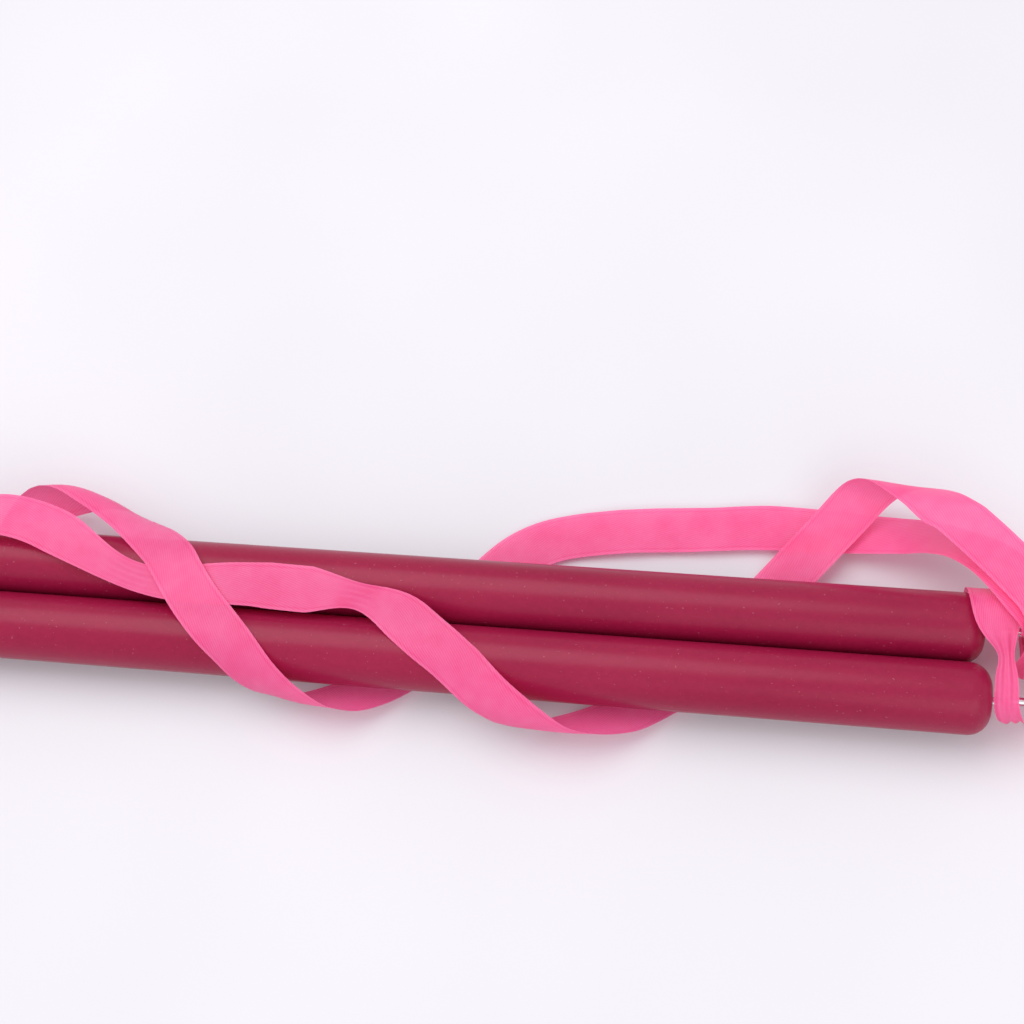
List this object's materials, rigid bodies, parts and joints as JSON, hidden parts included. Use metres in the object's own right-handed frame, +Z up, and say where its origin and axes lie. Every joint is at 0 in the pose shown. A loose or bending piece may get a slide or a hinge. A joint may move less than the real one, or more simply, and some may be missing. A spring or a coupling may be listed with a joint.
{
  "type": "rhythmic ribbon wand",
  "caption": "Bundled pair of plastic ribbon wands: hollow rods with end plugs, free-spinning wire swivels at the tips, and satin ribbons wound round both rods.",
  "frame": {"origin": "on the surface that the bundle lies on, under the middle of its box", "axes": "+X runs along the rods from the handle ends to the tips, +Y runs across the rods from wand A to wand B, +Z up"},
  "size_m": [0.3252, 0.0574, 0.0203],
  "materials": {
    "rod_plastic": "semi-gloss moulded crimson plastic",
    "plug_plastic": "semi-gloss moulded crimson plastic",
    "bush_metal": "nickel plated",
    "washer_nylon": "natural nylon",
    "steel_wire": "bright drawn wire",
    "satin_ribbon": "single-face satin, hot pink"
  },
  "bodies": {
    "bundle": {"rod_a": "rod_plastic", "handle_plug_a": "plug_plastic", "tip_bush_a": "bush_metal", "rod_b": "rod_plastic", "handle_plug_b": "plug_plastic", "tip_bush_b": "bush_metal", "ribbon_a": "satin_ribbon", "ribbon_b": "satin_ribbon", "ribbon_tail_a": "satin_ribbon", "ribbon_tail_b": "satin_ribbon", "ribbon_hank_a": "satin_ribbon", "ribbon_hank_b": "satin_ribbon", "hank_end_a": "satin_ribbon", "hank_end_b": "satin_ribbon"},
    "swivel_a": {"swivel_pin_a": "steel_wire", "thrust_washer_a": "washer_nylon", "ribbon_knot_a": "satin_ribbon"},
    "swivel_b": {"swivel_pin_b": "steel_wire", "thrust_washer_b": "washer_nylon", "ribbon_knot_b": "satin_ribbon"}
  },
  "joints": [
    {"name": "swivel_a_spin", "type": "hinge", "parent": "bundle", "child": "swivel_a", "pos_m": [0.14278, -0.0152, 0.009], "axis": [1, 0, 0], "continuous": true},
    {"name": "swivel_b_spin", "type": "hinge", "parent": "bundle", "child": "swivel_b", "pos_m": [0.14138, -0.0009, 0.009], "axis": [1, 0, 0], "continuous": true}
  ]
}
